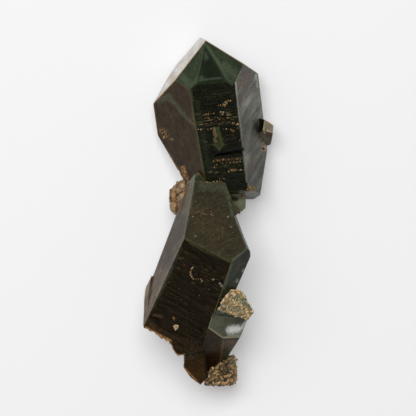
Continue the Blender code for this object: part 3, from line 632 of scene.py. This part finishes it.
side_inside = corner(15.1, 21.3, 6)
side_top = through(corner(14.5, 24.5, 10.5), corner(17.6, 23.4, 9.0), corner(14.5, 21.3, 10.2))
crystal("side_crystal", [
    (side_top, TAN, smooth), (facing(on(side_top, 14.9, 22.9), -82, 50), UPPER_STEPPED, smooth),
    (facing(on(side_top, 16.1, 21.7), 170, 45), BROWN, smooth),
    (facing(corner(15.7, 24.7, 9), 20, 92), BROKEN, broken),
    (facing(corner(16.7, 24.1, 9), 33, 92), BROKEN, broken),
    (facing(corner(17.7, 22.9, 9), 95, 92), BACK, unseen), (facing(corner(17.0, 18.4, 6), 100, 95), BACK, unseen),
    (facing(corner(16.1, 17.9, 6), 165, 92), BACK, unseen), (facing(corner(12.9, 22.1, 6), -90, 90), BACK, unseen),
    (level(2.6), BACK, unseen),
], side_inside, UPPER_AXIS, (
    ("iron", 15.8, 24.6, 17.6, 23.4, 0.25, 0.7), ("milk", 15.2, 21.4, 16.2, 21.9, 0.2, 0.6),
    ("veil", 14.8, 20.4, 16.4, 19.0, 0.7, 0.35),
), cell=0.15)

crystal("front_rider", [
    (raised(UPPER_FRONT, 0.75), GREEN_OLIVE, smooth), (raised(UPPER_FRONT, -1.0), BACK, unseen),
    *[(facing(on(UPPER_FRONT, x, y), bearing, slope), GREEN_OLIVE, smooth) for x, y, bearing, slope in (
        (1.2, 22.1, -96, 52), (3.5, 21.5, 78, 52), (2.1, 23.0, -10, 60), (2.5, 16.6, 222, 60), (3.8, 16.9, 128, 60))],
], on(UPPER_FRONT, 2.4, 19.9), UPPER_AXIS, (
    ("iron", 1.5, 22.4, 2.0, 20.4, 0.5, 0.2), ("milk", 1.6, 19.4, 1.6, 19.4, 0.2, 0.8),
    ("shade", 1.2, 20.5, 2.1, 16.8, 0.3, 0.5),
), cell=0.12)


# The matrix.
# Sand-sized grains of iron-stained quartz and feldspar, stuck together: a lump behind the neck, a crust on
# the back of the right crystal, and the crumbly foot. Each is a rounded block with grains all over it.
def grain_cells(p, cell, seed):
    """Distance from each point to the nearest grain's middle, in cells, and that grain's own number."""
    table = np.random.default_rng(seed).random((4096, 4))
    q = p / cell
    base = np.floor(q).astype(np.int64)
    near = np.full(len(p), 9.0)
    tone = np.zeros(len(p))
    for step in np.ndindex(3, 3, 3):
        at = base + step - 1
        pick = table[(at[:, 0] * 73856093 ^ at[:, 1] * 19349663 ^ at[:, 2] * 83492791) % 4096]
        far = np.linalg.norm(at + pick[:, :3] - q, axis=1)
        tone = np.where(far < near, pick[:, 3], tone)
        near = np.minimum(near, far)
    return near, tone


def grains(places, size, rng):
    """Loose grains: a twenty-sided stone at each place, stretched, turned and dented at random."""
    bm = bmesh.new()
    bmesh.ops.create_icosphere(bm, subdivisions=1, radius=1.0)
    stone = np.array([v.co[:] for v in bm.verts])
    sides = np.array([[v.index for v in f.verts] for f in bm.faces])
    bm.free()
    count = len(places)
    turn, _ = np.linalg.qr(rng.normal(size=(count, 3, 3)))
    radius = size * rng.uniform(0.28, 0.62, (count, 1, 1)) * rng.uniform(0.7, 1.25, (count, 1, 3))
    dent = rng.uniform(0.8, 1.15, (count, len(stone), 1))
    points = places[:, None] + (stone * dent * radius) @ turn
    corners = np.arange(count)[:, None, None] * len(stone) + sides
    corners = corners.reshape(-1, 3)[:, (0, 1, 2, 2)]
    return points.reshape(-1, 3), corners, np.repeat(rng.random(count), len(stone))


def sand_finish(name, dark, mid, light, odd, rough=0.65):
    """Grains of four mineral colours, each grain its own, with dust, and painted shade in the sunk gaps between them.
    """
    material = bpy.data.materials.new(name)
    material.use_nodes = True
    tree = material.node_tree
    shader = tree.nodes["Principled BSDF"]
    place = add(tree, "ShaderNodeTexCoord").outputs["Object"]
    grain = add(tree, "ShaderNodeAttribute", {"attribute_name": "grain_tone"})
    ramp = add(tree, "ShaderNodeValToRGB", Fac=grain.outputs["Fac"])
    ramp.color_ramp.interpolation = "CONSTANT"
    stops = ramp.color_ramp.elements
    while len(stops) < 4:
        stops.new(1.0)
    for stop, at, colour in zip(stops, (0.0, 0.25, 0.6, 0.85), (dark, mid, light, odd)):
        stop.position = at
        stop.color = srgb(colour)
    dirt = add(tree, "ShaderNodeTexNoise", {"Scale": 1 / (0.7 * MM), "Detail": 5.0, "Roughness": 0.7}, Vector=place)
    shade = add(tree, "ShaderNodeMapRange", {"From Min": 0.3, "From Max": 0.7, "To Min": 0.45, "To Max": 1.25},
                Value=dirt.outputs[0])
    # Painted shade in the sunk gaps between grains, multiplied by the dust.
    gap_shade = add(tree, "ShaderNodeAttribute", {"attribute_name": "grain_gap_shade"})
    dust_and_gap_shade = add(tree, "ShaderNodeMath", {"operation": "MULTIPLY"}, i0=shade.outputs[0], i1=gap_shade.outputs["Fac"])
    body = add(tree, "ShaderNodeMix", {"data_type": "RGBA", "blend_type": "MULTIPLY", 0: 1.0}, i6=ramp.outputs[0],
               i7=dust_and_gap_shade.outputs[0])
    for tone, colour in (("veil", VEIL_GREEN), ("iron", RUST_LIGHT), ("shade", "#0c0c08")):
        amount = add(tree, "ShaderNodeAttribute", {"attribute_name": tone})
        body = add(tree, "ShaderNodeMix", {"data_type": "RGBA", 7: srgb(colour)}, Factor=amount.outputs["Fac"],
                   i6=body.outputs[2])
    tree.links.new(body.outputs[2], shader.inputs["Base Color"])
    bump = add(tree, "ShaderNodeBump", {"Strength": 0.5, "Distance": 0.2 * MM}, Height=dirt.outputs[0])
    tree.links.new(bump.outputs[0], shader.inputs["Normal"])
    shader.inputs["Roughness"].default_value = rough
    shader.inputs["Specular IOR Level"].default_value = 0.3
    return material


def granular_mass(name, node, material, faces, inside, thinness, grain, relief, strewn, seed,
                  marks=()):
    """Rounded block on a grid of longitude and latitude about its bed's normal, raised into grains.

    The distance to the faces is a power mean, so that edges are worn; the last face is the bed.
    Smaller loose grains are strewn over it, half sunk in.
    """
    rows = outward(faces, inside)
    distance = rows[:, 3] - rows[:, :3] @ inside
    bed = rows[-1, :3]
    side = np.cross(bed, (0.0, 1.0, 0.0))
    side /= np.linalg.norm(side)
    around, down = 240, 150
    u = np.linspace(0, 2 * math.pi, around, endpoint=False)
    v = np.linspace(0, math.pi, down)[1:-1, None]
    ring = np.stack((np.sin(v) * np.cos(u), np.sin(v) * np.sin(u), -thinness * np.cos(v) + 0 * u), axis=2)
    ring = np.vstack((ring.reshape(-1, 3), (0, 0, -thinness), (0, 0, thinness)))
    way = ring @ np.stack((side, np.cross(bed, side), bed))
    way /= np.linalg.norm(way, axis=1)[:, None]
    share = (np.clip(way @ rows[:, :3].T, 0, None) / distance) ** 18
    total = share.sum(axis=1, keepdims=True)
    p = inside + way * total ** (-1 / 18)
    free = share[:, :-1] / total
    near, tone = grain_cells(p, grain, seed)
    fine, other = grain_cells(p, grain * 0.45, seed + 1)
    swell = smooth_noise(p, grain * 2.6, seed + 2)
    rise = relief * (0.45 - near + 0.6 * swell) + 0.35 * relief * (0.5 - fine)
    p = p + (free @ rows[:-1, :3]) * rise[:, None]
    this = np.arange(around)
    after = np.roll(this, -1)
    bands = np.arange(down - 3)[:, None] * around
    quads = np.stack((bands + this, bands + after, bands + after + around, bands + this + around), axis=2)
    last = (down - 2) * around
    lid = np.stack((0 * this + last, after, this, this), axis=1)
    base = np.stack((0 * this + last + 1, this + last - around, after + last - around, after + last - around), axis=1)
    quads = np.vstack((quads.reshape(-1, 4), lid, base))
    rng = np.random.default_rng(seed + 3)
    bare = np.flatnonzero(free.sum(axis=1) > 0.9)
    loose, corners, loose_tone = grains(p[rng.choice(bare, strewn)], grain * 0.62, rng)
    quads = np.vstack((quads, corners + len(p)))
    # The gap tone darkens points far from a grain's middle, where the surface sinks: painted shade between the
    # grains.
    tones = {"grain_tone": np.append(np.where(fine < 0.3, other, tone), loose_tone),
             "grain_gap_shade": np.append(np.clip(1.2 - near, 0.2, 1), np.ones(len(loose)))}
    p = np.vstack((p, loose))
    tones |= painted(p, marks)
    piece = mesh_piece(name, p, quads, np.zeros(len(quads)), [material], tones, sharp=40)
    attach(piece, "root")
    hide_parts(node)
    return piece


granular_mass("neck_lump", "neck_matrix",
              sand_finish("iron_stained_sand", "#5c4630", "#9a7d5c", "#bf9f78", "#88836c"), [
    facing(corner(-10.5, 3.2, 5), -92, 90), facing(corner(-9.2, 6.9, 5), -50, 88),
    facing(corner(-8.7, -1.7, 5), 235, 90), facing(corner(-0.9, 8.6, 5), 0, 90),
    facing(corner(-0.9, -1.1, 5), 182, 90), facing(corner(8.0, 5.8, 5), 25, 88),
    facing(corner(10.1, 2.6, 5), 88, 90), facing(corner(8.3, -0.3, 5), 150, 90),
    level(11.8), level(0.8)], corner(-0.6, 3.5, 5.2), 1.0, 1.2, 0.3, 260, 5, (
        ("veil", 6.4, 4.0, 9.6, 1.6, 1.8, 0.8), ("shade", 5.6, 3.9, 7.6, 3.5, 0.7, 0.9),
        ("shade", 6.4, 1.8, 8.0, -1.0, 0.7, 0.6), ("shade", -10.5, 6.6, -10.8, 0.2, 0.16, 0.3),
        ("iron", -9.4, 7.8, -9.2, 0.8, 0.5, 0.3), ("shade", -8.5, 8.2, -8.5, -0.8, 0.2, 0.35),
        ("iron", 5.4, 5.3, 8.8, 5.3, 0.4, 0.6)))

granular_mass("right_crust", "side_crust",
              sand_finish("sandy_crust", "#8b8166", "#f0c78b", "#ffe8bd", "#afb8a1"), [
    raised(RIGHT_TOP, 1.5), facing(corner(3.9, -23.7, 19), -55, 84), facing(corner(1.9, -26.6, 18), -75, 88),
    facing(corner(7.2, -20.7, 17), 5, 85), facing(corner(10.2, -23.6, 15), 59, 90),
    facing(corner(11.7, -27.6, 13), 125, 92), facing(corner(6.2, -27.9, 17), 191, 80),
    raised(RIGHT_TOP, 0.1)], on(raised(RIGHT_TOP, 0.9), 7.0, -25.0), 0.16, 0.8, 0.4, 420, 3, (
        ("veil", 8.2, -22.6, 10.8, -25.6, 0.8, 0.5), ("veil", 5.0, -24.6, 8.8, -27.4, 0.9, 0.4),
        ("shade", 3.4, -25.6, 5.2, -27.4, 0.5, 0.35), ("iron", 4.2, -23.2, 6.0, -25.2, 0.7, 0.3)))

granular_mass("foot_mass", "foot_matrix",
              sand_finish("crumbly_matrix", "#4e4e3c", "#bf9a68", "#e8bb85", "#66664e"), [
    through(corner(1.0, -42.7, 13.5), corner(6.4, -40.0, 13.0), corner(5.3, -47.0, 8.0)),
    facing(corner(7.7, -42.4, 8), 88, 92), facing(corner(7.3, -46.5, 8), 120, 92),
    facing(corner(4.8, -46.8, 8), 180, 90), facing(corner(0.5, -47.1, 8), 190, 90),
    facing(corner(-1.4, -46.5, 8), 235, 90), facing(corner(-0.2, -44.2, 8), -70, 90),
    facing(corner(3.3, -41.0, 10), -30, 88), facing(corner(6.7, -39.1, 10), 35, 88),
    level(0.8)], corner(3.5, -43.5, 7), 1.0, 1.0, 0.55, 500, 8, (
        ("shade", 4.6, -40.6, 4.2, -43.2, 1.3, 0.65), ("veil", 5.8, -39.8, 7.2, -41.4, 0.7, 0.4),
        ("shade", 1.2, -43.6, 0.2, -46.0, 0.6, 0.3)))


# Grains on the crystal faces.
# Crumbs of the same sand that settled on the growth steps while the quartz grew, and a few larger chips.
def strewn_grains(name, material, beds, seed):
    """Grains along lines on the faces, sunk in by half.

    A bed is a face, the line's two ends, its half width, the number of grains and their size, in mm.
    """
    rng = np.random.default_rng(seed)
    points, corners, tones = [], [], []
    start = 0
    for face, x0, y0, x1, y1, width, count, size in beds:
        t = rng.random(count)
        x = x0 + (x1 - x0) * t + rng.normal(0, width, count)
        y = y0 + (y1 - y0) * t + rng.normal(0, width * 0.5, count)
        z = (face[3] - face[0] * x - face[1] * y) / face[2]
        p, q, tone = grains(np.stack((x, y, z), axis=1), size, rng)
        points.append(p)
        corners.append(q + start)
        tones.append(tone)
        start += len(p)
    points, corners = np.concatenate(points), np.concatenate(corners)
    tones = {"grain_tone": np.concatenate(tones), "grain_gap_shade": np.ones(len(points))}
    piece = mesh_piece(name, points, corners, np.zeros(len(corners)), [material], tones, sharp=40)
    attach(piece, "root")
    return piece


strewn_grains("step_grains", sand_finish("tan_step_sand", "#2e2414", "#5f4828", "#b8956a", "#8a8068"), [
    (UPPER_FRONT, 3.6, 28.4, 5.8, 29.9, 0.4, 26, 0.55), (UPPER_FRONT, 3.3, 27.0, 4.4, 26.0, 0.5, 10, 0.6),
    (UPPER_FRONT, -1.6, 26.4, 5.6, 26.3, 0.5, 22, 0.45), (UPPER_FRONT, -1.6, 25.3, 7.2, 25.0, 0.4, 26, 0.42),
    (UPPER_FRONT, 0.6, 24.2, 7.8, 23.9, 0.35, 22, 0.42), (UPPER_FRONT, -1.8, 22.2, -1.4, 22.1, 0.12, 3, 0.7),
    (raised(UPPER_FRONT, 0.75), 1.6, 22.4, 2.0, 18.4, 0.15, 12, 0.4), (UPPER_FRONT, 6.6, 21.8, 6.9, 21.7, 0.15, 3, 0.75),
    (UPPER_FRONT, 7.0, 23.6, 7.6, 23.6, 0.2, 4, 0.7), (UPPER_FRONT, 8.4, 19.5, 8.8, 19.2, 0.2, 5, 0.6),
    (UPPER_FRONT, -2.0, 22.2, 8.0, 22.4, 0.3, 14, 0.35), (UPPER_FRONT, 1.5, 13.7, 9.0, 14.4, 0.3, 20, 0.4),
    (UPPER_FRONT, 2.0, 13.0, 9.4, 13.4, 0.4, 16, 0.35), (UPPER_FRONT, 5.4, 11.0, 9.4, 11.4, 0.2, 14, 0.45),
    (UPPER_FRONT, 0.6, 12.0, 3.6, 12.0, 0.25, 8, 0.35), (UPPER_FRONT, 1.5, 9.4, 4.0, 8.9, 0.4, 6, 0.35),
    (UPPER_LEFT, -12.5, 22.0, -11.2, 20.5, 0.45, 26, 0.5), (UPPER_LEFT, -10.1, 19.8, -9.6, 19.5, 0.2, 5, 0.5),
    (UPPER_LEFT, -6.9, 11.6, -5.8, 9.3, 0.35, 18, 0.5), (UPPER_RIGHT, 15.0, 17.3, 15.3, 16.9, 0.2, 7, 0.6),
    (UPPER_RIGHT, 14.2, 20.6, 14.8, 17.8, 0.3, 12, 0.4), (side_top, 14.9, 21.6, 15.6, 22.2, 0.2, 6, 0.4),
    (LOWER_FRONT, -4.0, -14.8, -4.9, -16.3, 0.14, 9, 0.55), (LOWER_FRONT, -4.9, -16.4, -4.2, -17.8, 0.14, 8, 0.4),
    (LOWER_FRONT, -4.4, -18.0, -0.8, -18.6, 0.3, 12, 0.35), (LOWER_FRONT, 1.1, -18.0, 1.4, -18.2, 0.1, 3, 0.5),
    (LOWER_FRONT, -9.3, -28.4, -9.1, -28.9, 0.1, 4, 0.5), (LOWER_FRONT, 3.0, -19.4, 4.4, -20.6, 0.12, 6, 0.35),
    (LOWER_FRONT, -12.0, -16.0, 2.0, -26.0, 2.6, 30, 0.22), (LOWER_PYRAMID, -2.8, -0.2, 1.3, -0.8, 0.7, 30, 0.24),
    (LOWER_PYRAMID, -4.0, 1.0, 5.0, -6.0, 2.0, 30, 0.2), (LOWER_PYRAMID, -0.6, 8.0, 4.4, 8.2, 0.1, 16, 0.4),
], 90)

strewn_grains("golden_grains", sand_finish("golden_sand", "#6b5a30", "#8d7840", "#a79360", "#5c5a44"), [
    (UPPER_RIGHT, 11.0, 6.2, 12.2, 6.4, 0.3, 30, 0.65), (UPPER_RIGHT, 11.4, 5.6, 12.0, 7.0, 0.3, 14, 0.5),
], 91)

chip_top = raised(LOWER_FRONT, 0.28)
chip_inside = on(raised(LOWER_FRONT, 0.1), -8.7, -30.9)
rim = [on(chip_top, x, y) for x, y in ((-9.3, -30.8), (-8.7, -30.4), (-8.0, -30.6), (-8.2, -31.3), (-8.8, -31.8))]
crystal("tan_chip", [
    (chip_top, TAN, smooth), (raised(LOWER_FRONT, -0.4), BACK, unseen),
    *[(wall_under(a, b, -35, chip_inside), TAN, smooth) for a, b in zip(rim, rim[1:] + rim[:1])],
], chip_inside, LOWER_AXIS, (("iron", -9.0, -31.0, -8.6, -31.2, 0.5, 0.35),), cell=0.12)


# The floor, the light and the camera.
# A white acrylic table that is also lit a little from below, under a wide soft light and a second one from
# the upper left. The camera side straight above is dark, so level faces mirror nothing bright.
acrylic = bpy.data.materials.new("white_acrylic")
acrylic.use_nodes = True
shader = acrylic.node_tree.nodes["Principled BSDF"]
shader.inputs["Base Color"].default_value = srgb("#cfcfd0")
shader.inputs["Roughness"].default_value = 0.9
shader.inputs["Specular IOR Level"].default_value = 0.0
shader.inputs["Emission Color"].default_value = srgb("#ffffff")
shader.inputs["Emission Strength"].default_value = 0.33

sheet = bpy.data.meshes.new("white_table")
sheet.from_pydata([(-3, -3, 0), (3, -3, 0), (3, 3, 0), (-3, 3, 0)], [], [(0, 1, 2, 3)])
sheet.materials.append(acrylic)
table = bpy.data.objects.new("white_table", sheet)
bpy.context.collection.objects.link(table)

for name, size, energy, place in (("overhead", 0.7, 9.1, (-0.12, 0.34, 0.98)), ("window", 0.6, 1.5, (-0.6, 0.35, 0.75))):
    light = bpy.data.lights.new(name, "AREA")
    light.size = size
    light.energy = energy
    lamp = bpy.data.objects.new(name, light)
    bpy.context.collection.objects.link(lamp)
    lamp.location = place
    lamp.rotation_euler = (-lamp.location).to_track_quat("-Z", "Y").to_euler()
    lamp.visible_glossy = False
    lamp.visible_camera = False

world = bpy.data.worlds.new("studio")
bpy.context.scene.world = world
world.use_nodes = True
sky = world.node_tree
way = add(sky, "ShaderNodeTexCoord")
height = add(sky, "ShaderNodeSeparateXYZ", Vector=way.outputs["Generated"])
mirrored = add(sky, "ShaderNodeMapRange", {"From Min": 0.55, "From Max": 0.9, "To Min": 0.8, "To Max": 0.03},
               Value=height.outputs[2])
ray = add(sky, "ShaderNodeLightPath")
shade = add(sky, "ShaderNodeMapRange", {"To Min": 1.0, "To Max": 0.25}, Value=ray.outputs["Is Diffuse Ray"])
strength = add(sky, "ShaderNodeMath", {"operation": "MULTIPLY"}, i0=mirrored.outputs[0], i1=shade.outputs[0])
back = sky.nodes["Background"]
sky.links.new(strength.outputs[0], back.inputs["Strength"])
back.inputs["Color"].default_value = (1, 1, 1, 1)

FIELD = 0.11232         # what the photograph's width covers, in metres
DISTANCE = 2.0
camera = bpy.data.cameras.new("camera")
camera.sensor_width = 36.0
camera.lens = 36.0 * (DISTANCE - 0.012) / FIELD
camera.clip_end = 10.0
eye = bpy.data.objects.new("camera", camera)
bpy.context.collection.objects.link(eye)
eye.location = ((208 - 208.2) * 0.00027 - MIDDLE[0] * MM, (211.8 - 208) * 0.00027 - MIDDLE[1] * MM, DISTANCE)
bpy.context.scene.camera = eye
bpy.context.scene.view_settings.view_transform = "Standard"
